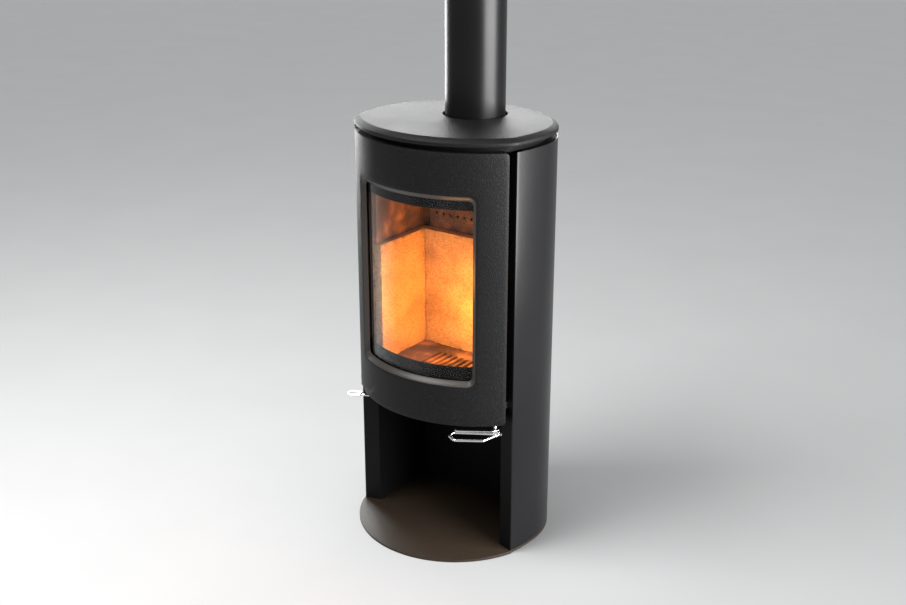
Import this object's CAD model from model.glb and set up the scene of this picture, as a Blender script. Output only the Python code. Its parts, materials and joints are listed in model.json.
# %% [markdown]
# # A wood burning stove, finished around its CAD frame
#
# The CAD model fixes every size, hinge and moving part of this oval stove. These cells give it its
# looks: castings with soft edges, bent sheet steel, a bevelled window, a wire handle and paints with
# a real grain. Everything is in metres, +Z is up and the door faces -Y.

# %% Load the frame
import json
import math

import bmesh
import bpy
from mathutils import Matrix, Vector, noise


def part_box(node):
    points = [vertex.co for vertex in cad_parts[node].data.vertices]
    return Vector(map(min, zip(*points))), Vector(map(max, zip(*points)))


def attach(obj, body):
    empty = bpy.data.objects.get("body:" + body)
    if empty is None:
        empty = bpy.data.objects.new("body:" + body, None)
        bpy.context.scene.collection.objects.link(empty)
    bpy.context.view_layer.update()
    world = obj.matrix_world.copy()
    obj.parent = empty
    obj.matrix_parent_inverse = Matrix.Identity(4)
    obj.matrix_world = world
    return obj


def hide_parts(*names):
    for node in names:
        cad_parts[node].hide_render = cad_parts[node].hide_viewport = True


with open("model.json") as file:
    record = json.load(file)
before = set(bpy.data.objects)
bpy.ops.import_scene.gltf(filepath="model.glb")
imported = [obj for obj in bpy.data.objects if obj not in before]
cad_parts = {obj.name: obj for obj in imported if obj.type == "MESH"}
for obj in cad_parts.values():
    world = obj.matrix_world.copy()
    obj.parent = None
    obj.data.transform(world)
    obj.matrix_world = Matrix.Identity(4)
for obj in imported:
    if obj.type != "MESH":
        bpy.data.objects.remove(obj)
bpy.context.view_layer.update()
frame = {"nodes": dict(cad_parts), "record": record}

# %% [markdown]
# ## Driving sizes
# The stove's plan is a ring of arcs: a wide front arc that the door follows, tight front corners,
# long sides and a round back. The widths and heights come from the CAD boxes, and the arcs' radii
# are the design's own numbers.

# %% Sizes
FRONT_R, CORNER_R, SIDE_R, REAR_R = 0.307, 0.055, 0.420, 0.280
HALF_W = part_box("side_panel_right")[1].x
HALF_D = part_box("rear_panel")[1].y
FRONT_C = Vector((0, FRONT_R - HALF_D))
PANEL_T = 0.003
DOOR_LO, DOOR_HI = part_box("door_frame")[0].z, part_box("door_frame")[1].z
DOOR_ANGLE = math.radians(48.1)
DOOR_PLATE = 0.012
TOP_LO, TOP_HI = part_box("top_plate")[0].z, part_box("top_plate")[1].z
BASE_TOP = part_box("base_plate")[1].z
PIPE_LO, PIPE_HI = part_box("flue_pipe")
PIPE_C = Vector(((PIPE_LO.x + PIPE_HI.x) / 2, (PIPE_LO.y + PIPE_HI.y) / 2))
PIPE_R = (PIPE_HI.x - PIPE_LO.x) / 2
print(f"body {2 * HALF_W:.3f} x {2 * HALF_D:.3f} m, top at {TOP_HI:.3f} m, flue {2 * PIPE_R:.3f} m")

# %% [markdown]
# ## The plan outline
# Two neighbouring arcs meet smoothly when one circle touches the other from inside. That rule gives
# each centre, so the outline needs only radii. Moving the outline inwards is then easy: every radius
# gets smaller by the same amount.

# %% Outline helpers
def circle_inside(ca, ra, cb, rb, r):
    """Centre of the circle of radius r that touches two larger circles from inside."""
    d = (cb - ca).length
    e = (cb - ca) / d
    along = ((ra - r) ** 2 - (rb - r) ** 2 + d * d) / (2 * d)
    return ca + e * along + Vector((-e.y, e.x)) * math.sqrt((ra - r) ** 2 - along ** 2)


SIDE_C = Vector((HALF_W - SIDE_R, 0))
REAR_C = Vector((0, HALF_D - REAR_R))
REAR_SIDE_R = (REAR_R ** 2 - HALF_W ** 2 - REAR_C.y ** 2) / (2 * (REAR_R - HALF_W))
REAR_SIDE_C = Vector((HALF_W - REAR_SIDE_R, 0))
CORNER_C = circle_inside(FRONT_C, FRONT_R, SIDE_C, SIDE_R, CORNER_R)


def bearing(v):
    return math.atan2(v.y, v.x)


def half_outline(inset, detail=1.0):
    """Right half of the plan from front to back, moved inwards by inset."""
    a0, a1 = bearing(CORNER_C - FRONT_C), bearing(CORNER_C - SIDE_C)
    a2 = bearing(REAR_SIDE_C - REAR_C)
    arcs = [(FRONT_C, FRONT_R, -math.pi / 2, a0, 36), (CORNER_C, CORNER_R, a0, a1, 14),
            (SIDE_C, SIDE_R, a1, 0, 10), (REAR_SIDE_C, REAR_SIDE_R, 0, a2, 26),
            (REAR_C, REAR_R, a2, math.pi / 2, 26)]
    points = [Vector((0, -HALF_D + inset))]
    for centre, r, start, end, steps in arcs:
        steps = max(2, round(steps * detail))
        for i in range(1, steps + 1):
            a = start + (end - start) * i / steps
            points.append(centre + (r - inset) * Vector((math.cos(a), math.sin(a))))
    return points


def outline(inset, detail=1.0):
    right = half_outline(inset, detail)
    return right + [Vector((-p.x, p.y)) for p in reversed(right[1:-1])]


def on_arc(radius, angle):
    """Point round the front arc's centre, angle from the middle of the door, positive to the right."""
    return Vector((radius * math.sin(angle), FRONT_C.y - radius * math.cos(angle)))


print("outline points:", len(outline(0)))

# %% [markdown]
# ## From loops to solids
# Most pieces here are a chain of closed loops with the same number of points. Joining each loop to
# the next with quads gives clean faces that carry soft edges well. Shading is smooth apart from
# edges sharper than 35 degrees.

# %% Mesh helpers
SHARP = math.radians(35)


def finish_mesh(bm, name):
    bmesh.ops.remove_doubles(bm, verts=bm.verts, dist=1e-6)
    bmesh.ops.recalc_face_normals(bm, faces=bm.faces)
    mesh = bpy.data.meshes.new(name)
    bm.to_mesh(mesh)
    bm.free()
    mesh.polygons.foreach_set("use_smooth", [True] * len(mesh.polygons))
    mesh.set_sharp_from_angle(angle=SHARP)
    piece = bpy.data.objects.new(name, mesh)
    bpy.context.scene.collection.objects.link(piece)
    return piece


def add_loops(bm, loops, closed, caps):
    """Joins each loop to the next with quads; closed joins the last to the first."""
    rings = [[bm.verts.new(p) for p in loop] for loop in loops]
    pairs = list(zip(rings, rings[1:])) + ([(rings[-1], rings[0])] if closed else [])
    for a, b in pairs:
        for i in range(len(a)):
            j = (i + 1) % len(a)
            bm.faces.new((a[i], a[j], b[j], b[i]))
    if caps:
        bm.faces.new(rings[0])
        bm.faces.new(rings[-1])


def loop_solid(name, loops, closed=False, caps=False):
    bm = bmesh.new()
    add_loops(bm, loops, closed, caps)
    return finish_mesh(bm, name)


def mix_loops(a, b, steps):
    """Loops between a and b, without the two ends."""
    return [[p.lerp(q, i / steps) for p, q in zip(a, b)] for i in range(1, steps)]


def at_height(points, z):
    return [Vector((p.x, p.y, z)) for p in points]


def ring(centre, r, z, count=96):
    turns = [2 * math.pi * i / count for i in range(count)]
    return [Vector((centre[0] + r * math.cos(a), centre[1] + r * math.sin(a), z)) for a in turns]


def apply_modifiers(piece):
    """Bakes the live modifiers into a plain mesh."""
    graph = bpy.context.evaluated_depsgraph_get()
    mesh = bpy.data.meshes.new_from_object(piece.evaluated_get(graph))
    piece.modifiers.clear()
    old = piece.data
    piece.data = mesh
    bpy.data.meshes.remove(old)
    mesh.polygons.foreach_set("use_smooth", [True] * len(mesh.polygons))
    mesh.set_sharp_from_angle(angle=SHARP)
    return piece


def soften(piece, width, segments=2, apply=True):
    """Rounds the sharp edges of a piece, as paint and pressing do on real sheet."""
    bevel = piece.modifiers.new("soft_edges", "BEVEL")
    bevel.width = width
    bevel.segments = segments
    bevel.limit_method = "ANGLE"
    bevel.angle_limit = SHARP
    return apply_modifiers(piece) if apply else piece


def plate(name, points, z0, z1, soft=0.0005):
    """Flat plate: a plan polygon pulled up from z0 to z1."""
    return soften(loop_solid(name, [at_height(points, z0), at_height(points, z1)], caps=True), soft)


print("helpers ready")

# %% [markdown]
# ## Paints and metals
# A stove's finish is never one flat colour. Cast parts are sprayed over a sand-cast skin, so light
# catches thousands of tiny grains. Sheet parts get the same paint on a smooth skin, which leaves
# only a faint orange peel. Each material starts from Object coordinates, so its grain has a real
# size in metres and stays put when the door swings.

# %% Material helpers
def new_material(name, colour, metallic, roughness):
    material = bpy.data.materials.new(name)
    material.use_nodes = True
    shader = material.node_tree.nodes["Principled BSDF"]
    shader.inputs["Base Color"].default_value = (*colour, 1)
    shader.inputs["Metallic"].default_value = metallic
    shader.inputs["Roughness"].default_value = roughness
    return material, material.node_tree, shader


def noise_node(tree, scale, detail=2.0, stretch=(1, 1, 1)):
    place = tree.nodes.new("ShaderNodeTexCoord")
    mapping = tree.nodes.new("ShaderNodeMapping")
    mapping.inputs["Scale"].default_value = stretch
    pattern = tree.nodes.new("ShaderNodeTexNoise")
    pattern.inputs["Scale"].default_value = scale
    pattern.inputs["Detail"].default_value = detail
    tree.links.new(place.outputs["Object"], mapping.inputs["Vector"])
    tree.links.new(mapping.outputs["Vector"], pattern.inputs["Vector"])
    return pattern


def colours_from(tree, factor, stops):
    """A colour ramp: stops is a list of (position, colour)."""
    ramp = tree.nodes.new("ShaderNodeValToRGB")
    while len(ramp.color_ramp.elements) < len(stops):
        ramp.color_ramp.elements.new(0.5)
    for element, (position, colour) in zip(ramp.color_ramp.elements, stops):
        element.position = position
        element.color = (*colour, 1)
    tree.links.new(factor, ramp.inputs["Fac"])
    return ramp.outputs["Color"]


def spread(tree, factor, low, high):
    """Maps the middle of a noise to the range low..high."""
    span = tree.nodes.new("ShaderNodeMapRange")
    span.inputs["From Min"].default_value = 0.3
    span.inputs["From Max"].default_value = 0.7
    span.inputs["To Min"].default_value = low
    span.inputs["To Max"].default_value = high
    tree.links.new(factor, span.inputs["Value"])
    return span.outputs["Result"]


def bump_from(tree, shader, heights):
    """Chains bump nodes; heights is a list of (height socket, distance in metres, strength)."""
    normal = None
    for height, distance, strength in heights:
        bump = tree.nodes.new("ShaderNodeBump")
        bump.inputs["Distance"].default_value = distance
        bump.inputs["Strength"].default_value = strength
        tree.links.new(height, bump.inputs["Height"])
        if normal is not None:
            tree.links.new(normal, bump.inputs["Normal"])
        normal = bump.outputs["Normal"]
    tree.links.new(normal, shader.inputs["Normal"])


def shade(colour, factor):
    return tuple(min(1.0, c * factor) for c in colour)


print("material helpers ready")

# %% [markdown]
# ### Stove paint
# One function makes every painted finish. `grain` is the size of the skin's bumps, `depth` how far
# they stand up, and `sparkle` how much lighter their tops are. The cast door takes a coarse, deep
# grain and the pipe almost none. The slope round the window is smoother and a little lighter.

# %% Stove paint
def stove_paint(name, colour, roughness, gloss, grain, depth, strength, sparkle):
    material, tree, shader = new_material(name, colour, 0.0, roughness)
    fine = noise_node(tree, 1 / grain, 3.0)
    wide = noise_node(tree, 5.0, 3.0)
    tint = colours_from(tree, fine.outputs["Fac"], [
        (0.34, shade(colour, 0.70)), (0.55, colour), (0.72, shade(colour, sparkle))])
    tree.links.new(tint, shader.inputs["Base Color"])
    tree.links.new(spread(tree, wide.outputs["Fac"], roughness - 0.03, roughness + 0.04),
                   shader.inputs["Roughness"])
    shader.inputs["Specular IOR Level"].default_value = gloss
    bump_from(tree, shader, [(wide.outputs["Fac"], 0.0015, 0.04),
                             (fine.outputs["Fac"], depth, strength)])
    return material


CAST = stove_paint("cast_paint", (0.0040, 0.0040, 0.0044), 0.48, 0.15, 0.0034, 0.0010, 0.75, 2.6)
PANEL = stove_paint("panel_paint", (0.0045, 0.0045, 0.0050), 0.33, 0.20, 0.0020, 0.0003, 0.30, 1.8)
PIPE = stove_paint("pipe_paint", (0.0030, 0.0030, 0.0034), 0.33, 0.20, 0.0016, 0.0002, 0.20, 1.5)
INNER = stove_paint("inner_paint", (0.0024, 0.0022, 0.0022), 0.60, 0.12, 0.0020, 0.0001, 0.10, 1.4)
FLOOR_PLATE = stove_paint("base_plate_paint", (0.0190, 0.0125, 0.0080), 0.42, 0.28, 0.0018, 0.0002,
                          0.20, 1.6)
SLOPE = stove_paint("window_slope_paint", (0.030, 0.026, 0.023), 0.34, 0.35, 0.0020, 0.0001, 0.12, 1.4)
print("paints:", [m.name for m in (CAST, PANEL, PIPE, INNER, FLOOR_PLATE, SLOPE)])

# %% [markdown]
# ### Bright wire, plain steel and brass
# The handle and the air lever are polished, so they need sharp reflections with only faint smears.
# Screws and rods keep the grey look of plain zinc steel.

# %% Metals
def bare_metal(name, colour, roughness, smear):
    material, tree, shader = new_material(name, colour, 1.0, roughness)
    marks = noise_node(tree, 180.0, 4.0)
    tint = colours_from(tree, marks.outputs["Fac"], [(0.35, shade(colour, 0.88)), (0.65, colour)])
    tree.links.new(tint, shader.inputs["Base Color"])
    tree.links.new(spread(tree, marks.outputs["Fac"], roughness, roughness + smear),
                   shader.inputs["Roughness"])
    bump_from(tree, shader, [(marks.outputs["Fac"], 0.0001, 0.06)])
    return material


BRIGHT = bare_metal("polished_steel", (0.66, 0.66, 0.67), 0.16, 0.04)
STEEL = bare_metal("zinc_steel", (0.42, 0.42, 0.43), 0.32, 0.14)
BRASS = bare_metal("turned_brass", (0.62, 0.45, 0.20), 0.28, 0.10)
print("metals:", BRIGHT.name, STEEL.name, BRASS.name)

# %% [markdown]
# ### Lining, sooty iron, rope and glass
# Vermiculite board is pressed from golden flakes and goes sandy and brown with heat. The iron round
# the fire is dull and stained. The rope seals are braided glass fibre, dark with soot.

# %% Fire-side materials
def vermiculite(name):
    material, tree, shader = new_material(name, (0.50, 0.34, 0.18), 0.0, 0.85)
    flakes = tree.nodes.new("ShaderNodeTexVoronoi")
    place = tree.nodes.new("ShaderNodeTexCoord")
    flakes.inputs["Scale"].default_value = 210
    tree.links.new(place.outputs["Object"], flakes.inputs["Vector"])
    stains = noise_node(tree, 14.0, 5.0)
    base = colours_from(tree, stains.outputs["Fac"], [
        (0.25, (0.40, 0.27, 0.14)), (0.50, (0.60, 0.42, 0.22)), (0.75, (0.70, 0.52, 0.28))])
    glints = colours_from(tree, flakes.outputs["Distance"], [
        (0.05, (0.40, 0.30, 0.20)), (0.25, (1.0, 1.0, 1.0)), (0.75, (0.66, 0.58, 0.48))])
    mix = tree.nodes.new("ShaderNodeMix")
    mix.data_type = "RGBA"
    mix.blend_type = "MULTIPLY"
    mix.inputs["Factor"].default_value = 0.8
    tree.links.new(base, mix.inputs["A"])
    tree.links.new(glints, mix.inputs["B"])
    tree.links.new(mix.outputs["Result"], shader.inputs["Base Color"])
    grit = noise_node(tree, 260.0, 4.0)
    bump_from(tree, shader, [(grit.outputs["Fac"], 0.0030, 0.9),
                             (flakes.outputs["Distance"], 0.0010, 0.4)])
    return material


def sooty_iron(name):
    material, tree, shader = new_material(name, (0.07, 0.05, 0.04), 0.0, 0.72)
    stains = noise_node(tree, 18.0, 6.0)
    tint = colours_from(tree, stains.outputs["Fac"], [
        (0.30, (0.020, 0.014, 0.010)), (0.50, (0.10, 0.055, 0.030)), (0.70, (0.34, 0.17, 0.075))])
    tree.links.new(tint, shader.inputs["Base Color"])
    pits = noise_node(tree, 90.0, 4.0)
    tree.links.new(spread(tree, stains.outputs["Fac"], 0.55, 0.85), shader.inputs["Roughness"])
    bump_from(tree, shader, [(pits.outputs["Fac"], 0.0008, 0.35)])
    return material


def braided_rope(name):
    material, tree, shader = new_material(name, (0.05, 0.05, 0.05), 0.0, 0.9)
    place = tree.nodes.new("ShaderNodeTexCoord")
    height = None
    for turn in (0.8, -0.8):
        strands = tree.nodes.new("ShaderNodeTexWave")
        strands.inputs["Scale"].default_value = 190
        strands.inputs["Distortion"].default_value = 0.6
        mapping = tree.nodes.new("ShaderNodeMapping")
        mapping.inputs["Rotation"].default_value = (turn, turn, 0)
        tree.links.new(place.outputs["Object"], mapping.inputs["Vector"])
        tree.links.new(mapping.outputs["Vector"], strands.inputs["Vector"])
        if height is None:
            height = strands.outputs["Fac"]
            continue
        join = tree.nodes.new("ShaderNodeMath")
        join.operation = "MULTIPLY"
        tree.links.new(height, join.inputs[0])
        tree.links.new(strands.outputs["Fac"], join.inputs[1])
        height = join.outputs["Value"]
    tint = colours_from(tree, height, [(0.0, (0.015, 0.015, 0.014)), (0.7, (0.10, 0.098, 0.09))])
    tree.links.new(tint, shader.inputs["Base Color"])
    bump_from(tree, shader, [(height, 0.0010, 0.7)])
    return material


def clear_glass(name):
    """A mirror film: it reflects more at a shallow angle, and the rest of the light goes through."""
    material, tree, shader = new_material(name, (0.92, 0.92, 0.92), 1.0, 0.03)
    weight = tree.nodes.new("ShaderNodeLayerWeight")
    weight.inputs["Blend"].default_value = 0.5
    curve = tree.nodes.new("ShaderNodeMath")
    curve.operation = "POWER"
    curve.inputs[1].default_value = 4.5
    tree.links.new(weight.outputs["Facing"], curve.inputs[0])
    haze = noise_node(tree, 9.0, 4.0, (1, 1, 0.35))
    reflected = tree.nodes.new("ShaderNodeMath")
    reflected.operation = "MULTIPLY_ADD"
    reflected.inputs[1].default_value = 0.9
    tree.links.new(curve.outputs["Value"], reflected.inputs[0])
    tree.links.new(spread(tree, haze.outputs["Fac"], 0.004, 0.016), reflected.inputs[2])
    tree.links.new(reflected.outputs["Value"], shader.inputs["Alpha"])
    tree.links.new(spread(tree, haze.outputs["Fac"], 0.02, 0.06), shader.inputs["Roughness"])
    return material


LINING = vermiculite("vermiculite_board")
IRON = sooty_iron("sooty_iron")
ROPE = braided_rope("glass_fibre_rope")
GLASS = clear_glass("ceramic_glass")
print("fire side:", LINING.name, IRON.name, ROPE.name, GLASS.name)

# %% [markdown]
# ## Materials on the CAD parts
# Simple inner parts keep their CAD shape. Each takes the finish of its slot in the record, so the
# looks and the record agree. The posts, the log store's walls and the log guard show their edges,
# so a weld and a small bevel round them as modifiers, and the CAD mesh stays as it is.

# %% Give every CAD node its finish
FINISH = {"cast_black": CAST, "panel_black": PANEL, "pipe_black": PIPE, "inner_black": INNER,
          "bright_steel": BRIGHT, "plain_steel": STEEL, "chamber_iron": IRON, "lining": LINING,
          "window": GLASS, "rope": ROPE, "brass": BRASS}
slot_of = {part["node"]: part["material_slot"] for part in frame["record"]["subparts"]}
for node_name, node_object in frame["nodes"].items():
    node_object.data.materials.clear()
    node_object.data.materials.append(FINISH[slot_of[node_name]])
for node_name in ("front_post_left", "front_post_right", "store_wall_left", "store_wall_right",
                  "log_guard"):
    plain_plate = frame["nodes"][node_name]
    plain_plate.modifiers.new("weld", "WELD").merge_threshold = 1e-5
    soften(plain_plate, 0.0006, apply=False)
print("finished nodes:", len(slot_of))


def adopt(piece, node, body, material=None):
    """Makes a finished piece stand for a CAD node and ride on its body."""
    piece.data.materials.clear()
    piece.data.materials.append(material or FINISH[slot_of[node]])
    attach(piece, body)
    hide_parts(node)
    print(f"{piece.name}: {len(piece.data.polygons)} faces")


# %% [markdown]
# ## Geometry Nodes: wire along a path
# The handle, and the rope seals, are all one round section swept along a path with rounded corners.
# A node tree does that once: it turns edges into a curve, rounds the corners with Fillet Curve and
# sweeps a circle along it. Its inputs are the wire's radius, the corner radius and the sides.

# %% The wire tree
def new_tree(name, inputs):
    tree = bpy.data.node_groups.new(name, "GeometryNodeTree")
    tree.interface.new_socket("Geometry", in_out="INPUT", socket_type="NodeSocketGeometry")
    for label, kind in inputs:
        tree.interface.new_socket(label, in_out="INPUT", socket_type=kind)
    tree.interface.new_socket("Geometry", in_out="OUTPUT", socket_type="NodeSocketGeometry")
    return tree, tree.nodes.new("NodeGroupInput"), tree.nodes.new("NodeGroupOutput")


def wire_tree():
    tree, given, result = new_tree("wire_along_path", [
        ("Wire radius", "NodeSocketFloat"), ("Corner radius", "NodeSocketFloat"),
        ("Corner steps", "NodeSocketInt"), ("Sides", "NodeSocketInt"),
        ("Material", "NodeSocketMaterial")])
    path = tree.nodes.new("GeometryNodeMeshToCurve")
    fillet = tree.nodes.new("GeometryNodeFilletCurve")
    fillet.mode = "POLY"
    circle = tree.nodes.new("GeometryNodeCurvePrimitiveCircle")
    sweep = tree.nodes.new("GeometryNodeCurveToMesh")
    sweep.inputs["Fill Caps"].default_value = True
    smooth = tree.nodes.new("GeometryNodeSetShadeSmooth")
    realize = tree.nodes.new("GeometryNodeRealizeInstances")
    paint = tree.nodes.new("GeometryNodeSetMaterial")
    link = tree.links.new
    link(given.outputs["Geometry"], path.inputs["Mesh"])
    link(path.outputs["Curve"], fillet.inputs["Curve"])
    link(given.outputs["Corner radius"], fillet.inputs["Radius"])
    link(given.outputs["Corner steps"], fillet.inputs["Count"])
    link(given.outputs["Wire radius"], circle.inputs["Radius"])
    link(given.outputs["Sides"], circle.inputs["Resolution"])
    link(fillet.outputs["Curve"], sweep.inputs["Curve"])
    link(circle.outputs["Curve"], sweep.inputs["Profile Curve"])
    link(sweep.outputs["Mesh"], smooth.inputs["Geometry"])
    link(smooth.outputs["Geometry"], realize.inputs["Geometry"])
    link(realize.outputs["Geometry"], paint.inputs["Geometry"])
    link(given.outputs["Material"], paint.inputs["Material"])
    link(paint.outputs["Geometry"], result.inputs["Geometry"])
    return tree


def run_tree(piece, tree, values):
    """Runs a node tree on a piece with its named inputs, and keeps the result as a plain mesh."""
    modifier = piece.modifiers.new(tree.name, "NODES")
    modifier.node_group = tree
    sockets = {item.name: item.identifier for item in tree.interface.items_tree
               if item.item_type == "SOCKET" and item.in_out == "INPUT"}
    for label, value in values.items():
        modifier[sockets[label]] = value
    return apply_modifiers(piece)


def path_object(name, points):
    """Closed path of edges for the wire tree."""
    mesh = bpy.data.meshes.new(name)
    count = len(points)
    edges = [(i, (i + 1) % count) for i in range(count)]
    mesh.from_pydata([tuple(p) for p in points], edges, [])
    piece = bpy.data.objects.new(name, mesh)
    bpy.context.scene.collection.objects.link(piece)
    return piece


WIRE = wire_tree()
print("tree:", WIRE.name, len(WIRE.nodes), "nodes")

# %% [markdown]
# ## The cast top plate
# On the real stove this is a flat casting with a sloping rim that overhangs the body by a
# millimetre. Its section is a short list of steps inwards from the outline and heights, so the rim
# gets its two slopes and rounded edges from one loop chain. The hole round the flue is wider than
# the pipe, which leaves the dark ring seen from above.

# %% Top plate
hole_r = PIPE_R + 0.005
rim = [(0.0030, TOP_LO), (0.0000, TOP_LO + 0.0004), (-0.0008, TOP_LO + 0.0016),
       (-0.0010, TOP_LO + 0.0035), (-0.0010, TOP_LO + 0.0078), (-0.0006, TOP_LO + 0.0092),
       (0.0006, TOP_LO + 0.0105), (0.0120, TOP_HI - 0.0007), (0.0135, TOP_HI - 0.0001),
       (0.0155, TOP_HI)]
rim_loops = [at_height(outline(inset), z) for inset, z in rim]


def hole_loop(r, z):
    """Ring round the flue with one point for each point of the outline."""
    loop = []
    for p in outline(0):
        away = (p - PIPE_C).normalized()
        loop.append(Vector((PIPE_C.x + r * away.x, PIPE_C.y + r * away.y, z)))
    return loop


top_hole = hole_loop(hole_r + 0.001, TOP_HI)
bottom_hole = hole_loop(hole_r, TOP_LO)
top_loops = (rim_loops + mix_loops(rim_loops[-1], top_hole, 6) + [top_hole]
             + [hole_loop(hole_r, TOP_HI - 0.001), bottom_hole]
             + mix_loops(bottom_hole, rim_loops[0], 4))
top_plate = loop_solid("cast_top_plate", top_loops, closed=True)
adopt(top_plate, "top_plate", "stove_body")

# %% [markdown]
# ## The flue pipe
# A drawn steel tube: two walls joined by rounded ends. A lathed section is the simplest way to get
# both walls.

# %% Flue pipe
def lathe(name, centre, section, count=96):
    """Turns a closed section of (radius, height) points round an upright axis."""
    return loop_solid(name, [ring(centre, r, z, count) for r, z in section], closed=True)


PIPE_WALL = 0.002
pipe_in = PIPE_R - PIPE_WALL
flue_pipe = lathe("flue_pipe_tube", PIPE_C, [
    (pipe_in, PIPE_LO.z), (PIPE_R - 0.0006, PIPE_LO.z), (PIPE_R, PIPE_LO.z + 0.0006),
    (PIPE_R, PIPE_HI.z - 0.0008), (PIPE_R - 0.0008, PIPE_HI.z),
    (pipe_in + 0.0005, PIPE_HI.z), (pipe_in, PIPE_HI.z - 0.0006)], 128)
adopt(flue_pipe, "flue_pipe", "stove_body")

# %% [markdown]
# ## Curved side panels
# Each side is one sheet rolled to the plan outline. Its section is the outline between the door gap
# and the rear cover, with the sheet's thickness behind it. Pulling that section up gives the panel,
# and the soft edge at the front catches the thin bright line that a folded sheet shows.

# %% Side panels
PANEL_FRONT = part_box("side_panel_right")[0].y
REAR_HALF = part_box("rear_panel")[1].x
PANEL_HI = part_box("side_panel_right")[1].z


def cut_at(points, axis, value):
    """Point where a chain of plan points crosses a line."""
    for p, q in zip(points, points[1:]):
        if (p[axis] - value) * (q[axis] - value) <= 0 and p[axis] != q[axis]:
            return p.lerp(q, (value - p[axis]) / (q[axis] - p[axis]))
    raise ValueError("the outline never crosses that line")


def side_section(inset):
    points = half_outline(inset, 1.5)
    inside = [p for p in points if p.y > PANEL_FRONT + 1e-5
              and not (p.y > 0 and p.x < REAR_HALF + 1e-5)]
    back_edge = cut_at(points[len(points) // 2:], 0, REAR_HALF)
    return [cut_at(points, 1, PANEL_FRONT)] + inside + [back_edge]


for side, label in ((1, "right"), (-1, "left")):
    section = side_section(0) + list(reversed(side_section(PANEL_T)))
    section = [Vector((side * p.x, p.y)) for p in section]
    panel = plate(f"side_shell_{label}", section, BASE_TOP, PANEL_HI, soft=0.0007)
    adopt(panel, f"side_panel_{label}", "stove_body")

# %% [markdown]
# ## Rear cover with louvre slots
# The back is a rolled sheet with two banks of slots that let room air in at the bottom and out at
# the top. Slots fall on a grid, so the sheet is built as a grid of quads that leaves the slot cells
# out, bent onto the rear arc and then given its thickness.

# %% Rear cover
def span_stops(low, high, cuts, step):
    """Grid lines from low to high that include every cut and are never more than step apart."""
    marks = sorted({low, high, *cuts})
    stops = []
    for a, b in zip(marks, marks[1:]):
        parts = max(1, math.ceil((b - a) / step))
        stops += [a + (b - a) * i / parts for i in range(parts)]
    return stops + [high]


SLOT_X = [(-0.060, -0.010), (0.010, 0.060)]
SLOT_H, SLOT_STEP = 0.006, 0.018
SLOT_ROWS = [0.060 + SLOT_STEP * i for i in range(4)] + [0.900 + SLOT_STEP * i for i in range(6)]
SLOT_Z = [(z, z + SLOT_H) for z in SLOT_ROWS]


def rear_face_y(x):
    return REAR_C.y + math.sqrt(REAR_R ** 2 - x * x)


def is_slot(x, z):
    return any(a < x < b for a, b in SLOT_X) and any(a < z < b for a, b in SLOT_Z)


def rear_cover():
    xs = span_stops(-REAR_HALF, REAR_HALF, [x for pair in SLOT_X for x in pair], 0.008)
    zs = span_stops(BASE_TOP, PANEL_HI, [z for pair in SLOT_Z for z in pair], 0.060)
    bm = bmesh.new()
    grid = [[bm.verts.new((x, rear_face_y(x), z)) for x in xs] for z in zs]
    for row, (z0, z1) in enumerate(zip(zs, zs[1:])):
        for col, (x0, x1) in enumerate(zip(xs, xs[1:])):
            if not is_slot((x0 + x1) / 2, (z0 + z1) / 2):
                low, high = grid[row], grid[row + 1]
                bm.faces.new((low[col + 1], low[col], high[col], high[col + 1]))
    for vert in [v for v in bm.verts if not v.link_faces]:
        bm.verts.remove(vert)
    mesh = bpy.data.meshes.new("rear_cover")
    bm.to_mesh(mesh)
    bm.free()
    piece = bpy.data.objects.new("rear_cover", mesh)
    bpy.context.scene.collection.objects.link(piece)
    wall = piece.modifiers.new("sheet", "SOLIDIFY")
    wall.thickness = PANEL_T
    wall.offset = -1
    return soften(apply_modifiers(piece), 0.0005)


adopt(rear_cover(), "rear_panel", "stove_body")

# %% [markdown]
# ## Base plate
# The floor plate follows the body at the sides and back, and bulges forwards in a round lip that
# catches ash. Its plan is the outer edge of the two shapes together, with a soft top edge.

# %% Base plate
LIP_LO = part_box("base_plate")[0].y
LIP_C = Vector((0, -0.010))
LIP_R = LIP_C.y - LIP_LO
LIP_STEPS = 80


def base_plan():
    points = [p for p in outline(0) if p.y > PANEL_FRONT]
    reach = math.acos((LIP_C.y - PANEL_FRONT) / LIP_R)
    lip = [LIP_C + LIP_R * Vector((math.sin(a), -math.cos(a)))
           for a in [(-1 + 2 * i / LIP_STEPS) * reach for i in range(LIP_STEPS + 1)]]
    start = max(range(len(points)), key=lambda i: -points[i].y if points[i].x > 0 else -9)
    return lip + points[start:] + points[:start]


base_plate = plate("floor_plate", base_plan(), 0, BASE_TOP, soft=0.0012)
adopt(base_plate, "base_plate", "stove_body", FLOOR_PLATE)

# %% [markdown]
# ## The cast door
# One curved casting: a 12 mm plate with a rim behind it and a window whose edge slopes inwards at
# 45 degrees. Every loop of its section is the same rounded rectangle at another size and radius, so
# the slope keeps an even width round the window's corners. Sizes along the curve are arc lengths on
# the door's face, which keeps loops of different radii in line.

# %% Door loops
SIDE_STEPS, TOP_STEPS, TURN_STEPS = 68, 40, 7


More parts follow.
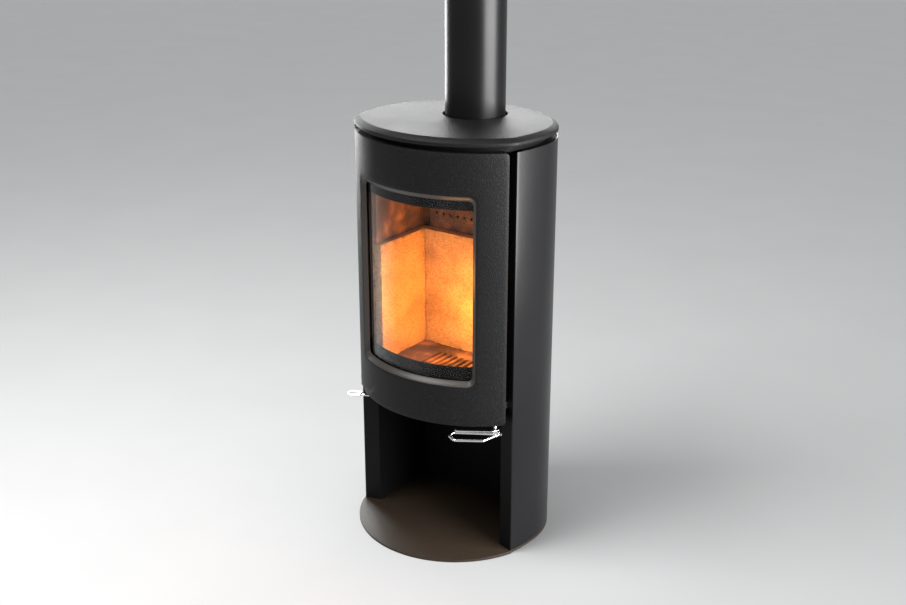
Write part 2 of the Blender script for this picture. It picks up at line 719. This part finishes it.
def curved_rectangle(radius, half, z0, z1, corner):
    """Rounded rectangle on an upright cylinder; half is its half width along the door's face."""
    flat = []
    reach = half - corner
    centres = [(reach, z0 + corner, -90), (reach, z1 - corner, 0),
               (-reach, z1 - corner, 90), (-reach, z0 + corner, 180)]
    straight = [SIDE_STEPS, TOP_STEPS, SIDE_STEPS, TOP_STEPS]
    corners = []
    for u, z, start in centres:
        turn = [math.radians(start + 90 * i / TURN_STEPS) for i in range(TURN_STEPS + 1)]
        corners.append([(u + corner * math.cos(a), z + corner * math.sin(a)) for a in turn])
    for k in range(4):
        flat += corners[k]
        (u0, z_from), (u1, z_to) = corners[k][-1], corners[(k + 1) % 4][0]
        for i in range(1, straight[k]):
            t = i / straight[k]
            flat.append((u0 + (u1 - u0) * t, z_from + (z_to - z_from) * t))
    return [Vector((*on_arc(radius, u / FRONT_R), z)) for u, z in flat]


FACE, PLATE_BACK = FRONT_R, FRONT_R - DOOR_PLATE
RIM_DEPTH = 0.010
RIM_BACK = PLATE_BACK - RIM_DEPTH
DOOR_HALF = DOOR_ANGLE * FRONT_R
BEVEL = 0.012
glass_lo, glass_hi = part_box("door_glass")
WINDOW_LO, WINDOW_HI = glass_lo.z + BEVEL, glass_hi.z - BEVEL
WINDOW_X = 0.171
WINDOW_HALF = math.asin(WINDOW_X / FACE) * FRONT_R
SIGHT_HALF = math.asin((WINDOW_X - BEVEL) / PLATE_BACK) * FRONT_R
EDGE_SOFT, DOOR_CORNER, RIM_CORNER = 0.0016, 0.010, 0.006


def door_ring(radius, inset):
    corner = DOOR_CORNER - inset
    return curved_rectangle(radius, DOOR_HALF - inset, DOOR_LO + inset, DOOR_HI - inset, corner)


def rim_ring(radius, inset_x, inset_z):
    """Inside edge of the rim behind the plate."""
    z0, z1 = DOOR_LO + inset_z, DOOR_HI - inset_z
    return curved_rectangle(radius, DOOR_HALF - inset_x, z0, z1, RIM_CORNER)


def window_ring(radius, share, grow=0.0):
    """Edge of the window: share 0 is the outer edge of the slope, 1 the inner edge."""
    half = WINDOW_HALF + (SIGHT_HALF - WINDOW_HALF) * share + grow
    drop = BEVEL * share - grow
    corner = 0.020 - 0.006 * share + grow
    return curved_rectangle(radius, half, WINDOW_LO + drop, WINDOW_HI - drop, corner)


print("door half width along the face:", round(DOOR_HALF, 4), "window:", round(WINDOW_HALF, 4))

# %% [markdown]
# ## The door's section
# The chain of loops starts at the back of the rim, runs round the outside to the face, across the
# face to the window, down the slope, and over the back of the plate to the inside of the rim. Loops
# on the face and the back are spread evenly, so that the quads follow the curve.

# %% Door casting
def door_casting():
    face_outer = door_ring(FACE, EDGE_SOFT)
    face_inner = window_ring(FACE, 0, 0.0022)
    back_inner = window_ring(PLATE_BACK, 1, 0.0004)
    back_outer = rim_ring(PLATE_BACK, 0.0118, 0.0045)
    rim_inner = rim_ring(RIM_BACK + 0.0005, 0.0113, 0.0040)
    loops = [door_ring(RIM_BACK, 0.0006), door_ring(RIM_BACK + 0.0006, 0),
             door_ring(FACE - EDGE_SOFT, 0), door_ring(FACE - 0.3 * EDGE_SOFT, 0.3 * EDGE_SOFT)]
    loops += [face_outer] + mix_rings(face_outer, face_inner, FACE, 9) + [face_inner]
    loops += [window_ring(FACE - 0.0006, 0, 0.0005), window_ring(FACE - 0.0018, 0.12)]
    loops += [window_ring(FACE - DOOR_PLATE * s, s) for s in (0.5, 0.9)]
    loops += [window_ring(PLATE_BACK + 0.0006, 1)]
    loops += [back_inner] + mix_rings(back_inner, back_outer, PLATE_BACK, 8) + [back_outer]
    loops += [rim_inner]
    return loops


def mix_rings(a, b, radius, steps):
    """Loops between a and b that stay on the door's curve."""
    loops = []
    for loop in mix_loops(a, b, steps):
        onto = []
        for p in loop:
            away = Vector((p.x, p.y - FRONT_C.y))
            away *= radius / away.length
            onto.append(Vector((away.x, FRONT_C.y + away.y, p.z)))
        loops.append(onto)
    return loops


LATCH_GAP = (0.392, 0.424)


def clear_latch(loops):
    """Cuts the right rim back where the latch reaches through it."""
    for loop in loops:
        for p in loop:
            away = Vector((p.x, p.y - FRONT_C.y))
            if p.x > 0.19 and LATCH_GAP[0] < p.z < LATCH_GAP[1] and away.length < PLATE_BACK - 1e-4:
                away *= (PLATE_BACK - 0.0003) / away.length
                p.x, p.y = away.x, FRONT_C.y + away.y
    return loops


door_casting_loops = clear_latch(door_casting())
door = loop_solid("door_casting", door_casting_loops, closed=True)
print("door loops:", len(door_casting_loops), "faces:", len(door.data.polygons))

# %% [markdown]
# ## Hinge knuckles and latch boss
# These are cast in one with the door. Each knuckle is a short tube round the hinge pin with a web
# back to the rim. The boss guides the latch rod where it comes up through the door's lower rim. The
# faces of the window's slope then take their own paint.

# %% Knuckles and boss
HINGE_LO, HINGE_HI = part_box("hinge_bush")
HINGE = Vector(((HINGE_LO.x + HINGE_HI.x) / 2, (HINGE_LO.y + HINGE_HI.y) / 2))
ROD_LO, ROD_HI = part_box("latch_rod")
LATCH = Vector(((ROD_LO.x + ROD_HI.x) / 2, (ROD_LO.y + ROD_HI.y) / 2))
ROD_R = (ROD_HI.x - ROD_LO.x) / 2


def tube_section(r_in, r_out, z0, z1):
    """Section of a short tube with softened outer edges, for lathe."""
    soft = 0.0006
    return [(r_in, z0), (r_out - soft, z0), (r_out, z0 + soft), (r_out, z1 - soft),
            (r_out - soft, z1), (r_in, z1)]


def join(main, others):
    """Adds the meshes of others to main and removes them."""
    bm = bmesh.new()
    for piece in [main, *others]:
        bm.from_mesh(piece.data)
    bm.to_mesh(main.data)
    bm.free()
    for piece in others:
        bpy.data.objects.remove(piece)
    main.data.set_sharp_from_angle(angle=SHARP)
    return main


LUG = 0.020
extras = []
for z0, z1 in ((DOOR_LO + 0.0004, DOOR_LO + LUG), (DOOR_HI - LUG, DOOR_HI - 0.0004)):
    extras.append(lathe("knuckle", HINGE, tube_section(0.0036, 0.006, z0, z1), 32))
    web = [HINGE + Vector((0.0036, 0.0042)), HINGE + Vector((0.0048, -0.0030)),
           on_arc(FACE - 0.004, -DOOR_ANGLE + 0.006), on_arc(RIM_BACK + 0.003, -DOOR_ANGLE + 0.035)]
    extras.append(plate("web", web, z0 + 0.001, z1 - 0.001, soft=0.0004))
boss_section = tube_section(ROD_R + 0.0001, 0.0072, DOOR_LO + 0.002, DOOR_LO + 0.018)
extras.append(lathe("boss", LATCH, boss_section, 32))
door = join(door, extras)
adopt(door, "door_frame", "door")
door.data.materials.append(SLOPE)
for face in door.data.polygons:
    away = math.hypot(face.center.x, face.center.y - FRONT_C.y)
    in_window = abs(face.center.x) < WINDOW_X + 0.001 and WINDOW_LO < face.center.z < WINDOW_HI
    if in_window and PLATE_BACK + 0.0003 < away < FACE - 0.0009:
        face.material_index = 1
print("window slope faces:", sum(f.material_index == 1 for f in door.data.polygons))

# %% [markdown]
# ## Glass and its retainer
# The pane is ceramic glass bent to the door's curve, held against a rope gasket by a thin black
# frame screwed on from inside. Through the glass, that frame reads as the dark band above and below
# the fire. The pane is a curved slab and the frame is a closed chain of loops, both on the door's
# curve.

# %% Glass pane and retainer frame
def curved_slab(name, r_out, r_in, half, z0, z1, corner):
    """Curved sheet with softened edges; its faces get rings inside so that they follow the curve."""
    soft = 0.0006

    def at(radius, inset):
        return curved_rectangle(radius, half - inset, z0 + inset, z1 - inset, corner - inset)

    middle = min(half, (z1 - z0) / 2) * 0.97
    outer, inner = at(r_out, soft), at(r_in, soft)
    core_out = curved_rectangle(r_out, half - middle, z0 + middle, z1 - middle, 0.0004)
    core_in = curved_rectangle(r_in, half - middle, z0 + middle, z1 - middle, 0.0004)
    edge = [inner, at(r_in + soft, 0), at(r_out - soft, 0), outer]
    loops = ([core_in] + mix_rings(core_in, inner, r_in, 14) + edge
             + mix_rings(outer, core_out, r_out, 14) + [core_out])
    return loop_solid(name, loops, caps=True)


GLASS_T = 0.004
GLASS_OUT = PLATE_BACK - 0.003
GLASS_HALF = math.radians(36.5) * FRONT_R
glass = curved_slab("curved_pane", GLASS_OUT, GLASS_OUT - GLASS_T, GLASS_HALF, glass_lo.z, glass_hi.z,
                    0.010)
adopt(glass, "door_glass", "door")

keep_lo, keep_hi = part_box("glass_retainer")
KEEP_OUT = GLASS_OUT - GLASS_T
KEEP_T, KEEP_SOFT = 0.002, 0.0004
KEEP_HALF = math.radians(38) * FRONT_R
SIGHT_X = math.radians(33.8) * FRONT_R
SIGHT_LO, SIGHT_HI = WINDOW_LO + 0.045, WINDOW_HI - 0.037


def retainer_loops():
    """Loops round the frame's section: outer edge, front, edge of the opening and back."""
    steps = [(KEEP_OUT - KEEP_T, KEEP_SOFT), (KEEP_OUT - KEEP_T + KEEP_SOFT, 0),
             (KEEP_OUT - KEEP_SOFT, 0), (KEEP_OUT, KEEP_SOFT)]
    outer = [curved_rectangle(r, KEEP_HALF - s, keep_lo.z + s, keep_hi.z - s, 0.012) for r, s in steps]
    inner = [curved_rectangle(r, SIGHT_X + s, SIGHT_LO - s, SIGHT_HI + s, 0.014)
             for r, s in reversed(steps)]
    return (outer + mix_rings(outer[-1], inner[0], KEEP_OUT, 4) + inner
            + mix_rings(inner[-1], outer[0], KEEP_OUT - KEEP_T, 4))


retainer = loop_solid("glass_retainer_frame", retainer_loops(), closed=True)
adopt(retainer, "glass_retainer", "door")

# %% [markdown]
# ## Rope seals
# Soft rope sits in the door's back and meets the frame when the door shuts. It is the wire tree
# again, with a thick soft section that follows a rounded rectangle on the curve.

# %% Rope seals
def rope_path(radius, half_angle, z0, z1, corner):
    """Every third point of a rounded rectangle on the door's curve."""
    return curved_rectangle(radius, half_angle * FRONT_R, z0, z1, corner)[::3]


seal_lo, seal_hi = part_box("door_seal")
seal_r = 0.0044
seal_path = rope_path(PLATE_BACK - 0.0052, math.radians(40.5), seal_lo.z + seal_r,
                      seal_hi.z - seal_r, 0.020)
door_seal = run_tree(path_object("door_rope", seal_path), WIRE, {
    "Wire radius": seal_r, "Corner radius": 0.0, "Corner steps": 1, "Sides": 10, "Material": ROPE})
adopt(door_seal, "door_seal", "door")

gasket_path = rope_path(PLATE_BACK - 0.0015, math.radians(35.3), glass_lo.z + 0.005,
                        glass_hi.z - 0.005, 0.010)
gasket = run_tree(path_object("glass_rope", gasket_path), WIRE, {
    "Wire radius": 0.0015, "Corner radius": 0.0, "Corner steps": 1, "Sides": 8, "Material": ROPE})
adopt(gasket, "glass_seal", "door")

# %% [markdown]
# ## The wire handle
# A polished bar bent to a flat loop, so that a gloved hand can pull it. Fillet Curve rounds the
# path's corners as a bending former does. The sharp corner by the plate takes two points, so that
# its rounding stays small. The plate that carries the loop turns with the latch rod.

# %% Handle
wire_lo, wire_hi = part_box("handle_loop")
WIRE_R = 0.00325
WIRE_Z = (wire_lo.z + wire_hi.z) / 2
LOOP = [(0.2215, -0.1295), (0.2245, -0.1320), (0.212, -0.187), (0.153, -0.226), (0.130, -0.214),
        (0.126, -0.193), (0.209, -0.143)]
handle = run_tree(path_object("wire_loop", [(x, y, WIRE_Z) for x, y in LOOP]), WIRE, {
    "Wire radius": WIRE_R, "Corner radius": 0.009, "Corner steps": 8, "Sides": 20, "Material": BRIGHT})
adopt(handle, "handle_loop", "door_handle")

bracket_lo, bracket_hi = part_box("handle_bracket")
BRACKET = [(0.188, -0.106), (0.210, -0.106), (0.217, -0.124), (0.210, -0.138), (0.205, -0.144),
           (0.134, -0.190), (0.126, -0.188), (0.130, -0.180), (0.182, -0.148), (0.188, -0.138)]


def round_corners(points, radius):
    """Plan polygon with its corners rounded by quadratic curves."""
    rounded, steps = [], 6
    count = len(points)
    for i, here in enumerate(points):
        back, ahead = points[i - 1], points[(i + 1) % count]
        a = here + (back - here).normalized() * min(radius, (back - here).length * 0.45)
        b = here + (ahead - here).normalized() * min(radius, (ahead - here).length * 0.45)
        for k in range(steps + 1):
            t = k / steps
            rounded.append(a * (1 - t) ** 2 + here * 2 * t * (1 - t) + b * t ** 2)
    return rounded


bracket_plan = round_corners([Vector(p) for p in BRACKET], 0.006)
bracket = plate("handle_plate", bracket_plan, bracket_lo.z, bracket_hi.z)
adopt(bracket, "handle_bracket", "door_handle")

# %% [markdown]
# ## The air lever
# A flat strip of polished steel that swings under the door, with a ring at its end for a fingertip
# or the poker's hook. The ring is a closed chain of ovals, the arm is a plate and the hub is a short
# tube on the pivot pin.

# %% Air lever
lever_lo, lever_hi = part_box("air_lever")
LEVER_T, RING_R, RING_HOLE_R = 0.003, 0.015, 0.008
AIR = Vector((-0.060, 0.020))
RING = [Vector((-0.214, -0.168)), Vector((-0.203, -0.163))]


def stadium(a, b, r):
    """Oval of two half circles of radius r round a and b."""
    along = bearing(b - a)
    points, count = [], 48
    for i in range(count):
        turn = 2 * math.pi * i / count
        centre = a if math.pi / 2 <= turn <= 3 * math.pi / 2 else b
        points.append(centre + r * Vector((math.cos(turn + along), math.sin(turn + along))))
    return points


RING_HOLE = [RING[0] + Vector((-0.001, -0.001)), RING[1] + Vector((-0.004, -0.002))]


def lever_ring():
    z0, z1, soft = lever_lo.z, lever_lo.z + LEVER_T, 0.0006
    outer, edge = stadium(*RING, RING_R), stadium(*RING, RING_R - soft)
    hole = stadium(*RING_HOLE, RING_HOLE_R)
    return [at_height(edge, z0), at_height(outer, z0 + soft), at_height(outer, z1 - soft),
            at_height(edge, z1), at_height(hole, z1), at_height(hole, z0)]


arm = [AIR + Vector((-0.007, 0.005)), Vector((-0.172, -0.140)), Vector((-0.191, -0.1515)),
       Vector((-0.197, -0.152)), Vector((-0.197, -0.171)), Vector((-0.186, -0.165)),
       Vector((-0.164, -0.153)), AIR + Vector((0.007, -0.005))]
lever = loop_solid("lever_ring", lever_ring(), closed=True)
arm_piece = plate("lever_arm", arm, lever_lo.z, lever_lo.z + LEVER_T, soft=0.0005)
hub = lathe("lever_hub", AIR, tube_section(0.0041, 0.012, lever_lo.z + LEVER_T, lever_hi.z), 32)
lever = join(lever, [arm_piece, hub])
adopt(lever, "air_lever", "air_control")

# %% [markdown]
# ## Lining bricks
# Vermiculite board crumbles at its edges. Each board is a fine grid box whose points move in by a
# small noise, more near the edges, so the outline turns ragged as it does in a used stove. The move
# is only inwards, so a board never grows into its neighbour.

# %% Lining
def rough_block(name, lo, hi, seed):
    step, crumble, skin = 0.005, 0.0035, 0.0007
    size = hi - lo
    counts = [max(2, round(size[k] / step)) for k in range(3)]
    bm = bmesh.new()
    seen = {}

    def vert(i, j, k):
        key = (i, j, k)
        if key not in seen:
            seen[key] = bm.verts.new((lo.x + size.x * i / counts[0], lo.y + size.y * j / counts[1],
                                      lo.z + size.z * k / counts[2]))
        return seen[key]

    for axis in range(3):
        u, v = [k for k in range(3) if k != axis]
        for end in (0, counts[axis]):
            for a in range(counts[u]):
                for b in range(counts[v]):
                    corners = []
                    for da, db in ((0, 0), (1, 0), (1, 1), (0, 1)):
                        place = [0, 0, 0]
                        place[axis], place[u], place[v] = end, a + da, b + db
                        corners.append(vert(*place))
                    bm.faces.new(corners)
    centre = (lo + hi) / 2
    shift = Vector((seed * 3.1, seed * 1.7, seed * 2.3))
    for point in bm.verts:
        gaps = sorted(min(point.co[k] - lo[k], hi[k] - point.co[k]) for k in range(3))
        near_edge = max(0.0, 1 - gaps[1] / (2.2 * step))
        wave = 0.5 + 0.5 * noise.noise(point.co * 55 + shift)
        chips = max(0.0, noise.noise(point.co * 140 + shift))
        depth = skin * wave + crumble * near_edge * (0.35 * wave + 1.1 * chips)
        for k in range(3):
            side = min(point.co[k] - lo[k], hi[k] - point.co[k])
            if side < step * 0.5:
                point.co[k] += math.copysign(depth, centre[k] - point.co[k])
    return finish_mesh(bm, name)


for seed, place in enumerate(("left", "right", "rear"), start=1):
    board = rough_block(f"lining_board_{place}", *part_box(f"brick_{place}"), seed)
    adopt(board, f"brick_{place}", "stove_body")

# %% [markdown]
# ## Geometry Nodes: screws on points
# All the small screws share one tree. Its input is a handful of points that each carry the direction
# the head faces; the tree puts a head on every point, turns it to face out, makes the copies real
# and paints them. The head itself has a hexagon socket, which is two extra loops.

# %% The screw tree
HEAD_SIDES = 24


def hexagon(radius, z):
    """Hexagon with as many points as the head's round loops."""
    points = []
    for i in range(HEAD_SIDES):
        a = 2 * math.pi * i / HEAD_SIDES
        reach = radius * math.cos(math.pi / 6) / math.cos((a % (math.pi / 3)) - math.pi / 6)
        points.append(Vector((reach * math.cos(a), reach * math.sin(a), z)))
    return points


def screw_head(name, r, h, socket):
    """Round head with a hexagon socket, standing on z = 0."""
    section = [(0.96, 0), (1, 0.08), (1, 0.6), (0.88, 0.92), (0.75, 1)]
    loops = [ring((0, 0), r * wide, h * high, HEAD_SIDES) for wide, high in section]
    loops += [hexagon(socket, h), hexagon(socket * 0.97, h * 0.35)]
    return loop_solid(name, loops, caps=True)


def screw_tree():
    tree, given, result = new_tree("screws_on_points", [
        ("Head", "NodeSocketObject"), ("Head scale", "NodeSocketFloat"), ("Seed", "NodeSocketInt"),
        ("Material", "NodeSocketMaterial")])
    points = tree.nodes.new("GeometryNodeMeshToPoints")
    facing = tree.nodes.new("GeometryNodeInputNamedAttribute")
    facing.data_type = "FLOAT_VECTOR"
    facing.inputs["Name"].default_value = "facing"
    turn = tree.nodes.new("FunctionNodeAlignRotationToVector")
    turn.axis = "Z"
    spin = tree.nodes.new("FunctionNodeRandomValue")
    spin.data_type = "FLOAT"
    spin.inputs[3].default_value = math.pi
    about = tree.nodes.new("FunctionNodeAxisAngleToRotation")
    about.inputs["Axis"].default_value = (0, 0, 1)
    rotate = tree.nodes.new("FunctionNodeRotateRotation")
    rotate.rotation_space = "LOCAL"
    head = tree.nodes.new("GeometryNodeObjectInfo")
    place = tree.nodes.new("GeometryNodeInstanceOnPoints")
    realize = tree.nodes.new("GeometryNodeRealizeInstances")
    paint = tree.nodes.new("GeometryNodeSetMaterial")
    link = tree.links.new
    link(given.outputs["Geometry"], points.inputs["Mesh"])
    link(points.outputs["Points"], place.inputs["Points"])
    link(given.outputs["Head"], head.inputs["Object"])
    link(head.outputs["Geometry"], place.inputs["Instance"])
    link(facing.outputs["Attribute"], turn.inputs["Vector"])
    link(given.outputs["Seed"], spin.inputs["Seed"])
    link(spin.outputs[1], about.inputs["Angle"])
    link(turn.outputs["Rotation"], rotate.inputs["Rotation"])
    link(about.outputs["Rotation"], rotate.inputs["Rotate By"])
    link(rotate.outputs["Rotation"], place.inputs["Rotation"])
    link(given.outputs["Head scale"], place.inputs["Scale"])
    link(place.outputs["Instances"], realize.inputs["Geometry"])
    link(realize.outputs["Geometry"], paint.inputs["Geometry"])
    link(given.outputs["Material"], paint.inputs["Material"])
    link(paint.outputs["Geometry"], result.inputs["Geometry"])
    return tree


SCREWS = screw_tree()


def screw_set(name, places, head, scale, material, seed):
    """places is a list of (point, direction the head faces)."""
    mesh = bpy.data.meshes.new(name)
    mesh.from_pydata([tuple(p) for p, _ in places], [], [])
    facing = mesh.attributes.new("facing", "FLOAT_VECTOR", "POINT")
    facing.data.foreach_set("vector", [c for _, d in places for c in d])
    piece = bpy.data.objects.new(name, mesh)
    bpy.context.scene.collection.objects.link(piece)
    return run_tree(piece, SCREWS, {"Head": head, "Head scale": scale, "Seed": seed, "Material": material})


socket_head = screw_head("socket_head", 0.0045, 0.0025, 0.0022)
print("tree:", SCREWS.name, len(SCREWS.nodes), "nodes")

# %% [markdown]
# ## Where the screws go
# Eight screws hold the rear cover, in a column near each edge. Ten smaller ones hold the glass frame
# from inside the door. Each head faces straight out of the curve it sits on.

# %% Screws on the rear cover and the glass frame
REAR_SCREW_X, REAR_SCREW_Z = 0.086, (0.040, 0.320, 0.640, 1.010)
KEEP_SCREW_ANGLE, KEEP_SCREW_Z = 37.3, (0.490, 0.597, 0.703, 0.809, 0.916)
rear_places = []
for x in (-REAR_SCREW_X, REAR_SCREW_X):
    for z in REAR_SCREW_Z:
        y = rear_face_y(x)
        rear_places.append((Vector((x, y - 0.0002, z)), Vector((x, y - REAR_C.y, 0)).normalized()))
rear_screws = screw_set("rear_cover_screws", rear_places, socket_head, 1.0, STEEL, 3)
adopt(rear_screws, "panel_screws", "stove_body")

keep_places = []
for angle in (-KEEP_SCREW_ANGLE, KEEP_SCREW_ANGLE):
    for z in KEEP_SCREW_Z:
        p = on_arc(KEEP_OUT - 0.0019, math.radians(angle))
        keep_places.append((Vector((p.x, p.y, z)), Vector((-p.x, FRONT_C.y - p.y, 0)).normalized()))
keep_screws = screw_set("glass_frame_screws", keep_places, socket_head, 0.6, STEEL, 5)
adopt(keep_screws, "retainer_screws", "door")
bpy.data.objects.remove(socket_head)

# %% [markdown]
# ## Camera
# The camera stands to the right of the door, a little above the stove, and looks down at it.

# %% Camera
camera_data = bpy.data.cameras.new("camera")
camera = bpy.data.objects.new("camera", camera_data)
bpy.context.scene.collection.objects.link(camera)
camera.location = (1.7602, -2.448, 1.718)
camera.rotation_euler = (math.radians(69.633), 0, math.radians(35.93))
camera_data.lens = 50.2
camera_data.sensor_width = 36.0
bpy.context.scene.camera = camera
print("camera lens:", round(camera_data.lens, 1))

# %% [markdown]
# ## Floor and light
# The floor is one wide pale sheet, so that its far end stays outside the picture. A broad light
# above keeps the floor bright near the stove and lets it fall off to grey behind. Three boxes, at
# the right, the left and behind, draw the soft streaks down the painted panels, and the floor is
# left out of their light. Two small warm lights inside stand for the fire.

# %% Floor and lights
def pale_floor():
    material, tree, shader = new_material("pale_floor", (0.80, 0.80, 0.80), 0.0, 0.55)
    floor_noise = noise_node(tree, 3.0, 2.0)
    tree.links.new(colours_from(tree, floor_noise.outputs["Fac"], [
        (0.3, (0.79, 0.79, 0.79)), (0.7, (0.81, 0.81, 0.81))]), shader.inputs["Base Color"])
    shader.inputs["Specular IOR Level"].default_value = 0.2
    bpy.ops.mesh.primitive_plane_add(size=60, location=(0, 0, -0.0002))
    floor = bpy.context.object
    floor.name = "floor"
    floor.data.materials.append(material)
    return floor


def add_lamp(data, place):
    lamp = bpy.data.objects.new(data.name, data)
    bpy.context.scene.collection.objects.link(lamp)
    lamp.location = place
    return lamp


def area_light(name, place, target, width, height, power):
    data = bpy.data.lights.new(name, "AREA")
    data.shape = "RECTANGLE"
    data.size, data.size_y, data.energy = width, height, power
    lamp = add_lamp(data, place)
    lamp.rotation_euler = (Vector(target) - Vector(place)).to_track_quat("-Z", "Y").to_euler()
    return lamp


floor = pale_floor()
MIDDLE = (0, 0, 0.65)
area_light("overhead", (-0.9, -1.5, 3.0), (0.1, -0.6, 0), 1.8, 1.8, 88)
gloss_lights = [
    area_light("right_box", (2.90, 0.10, 1.30), MIDDLE, 2.4, 2.2, 430),
    area_light("back_box", (-2.4, 3.4, 2.5), (0, 0, 1.1), 3.6, 1.3, 160),
    area_light("left_box", (-3.2, 1.2, 1.10), MIDDLE, 0.8, 2.0, 80)]
dark_to_gloss = bpy.data.collections.new("not_lit_by_gloss_lights")
dark_to_gloss.objects.link(floor)
dark_to_gloss.collection_objects[0].light_linking.link_state = "EXCLUDE"
for lamp in gloss_lights:
    lamp.light_linking.receiver_collection = dark_to_gloss


def glow(name, place, size, power):
    """Warm point light for the fire."""
    data = bpy.data.lights.new(name, "POINT")
    data.energy, data.color, data.shadow_soft_size = power, (1.0, 0.34, 0.03), size
    add_lamp(data, place)


glow("fire_bed", (0.03, -0.03, 0.56), 0.09, 3.4)
glow("flames_near_glass", (0.05, -0.120, 0.70), 0.06, 1.5)

world = bpy.data.worlds.new("studio")
bpy.context.scene.world = world
world.use_nodes = True
world.node_tree.nodes["Background"].inputs["Color"].default_value = (0.86, 0.87, 0.88, 1)
world.node_tree.nodes["Background"].inputs["Strength"].default_value = 0.56
bpy.context.scene.view_settings.view_transform = "Standard"
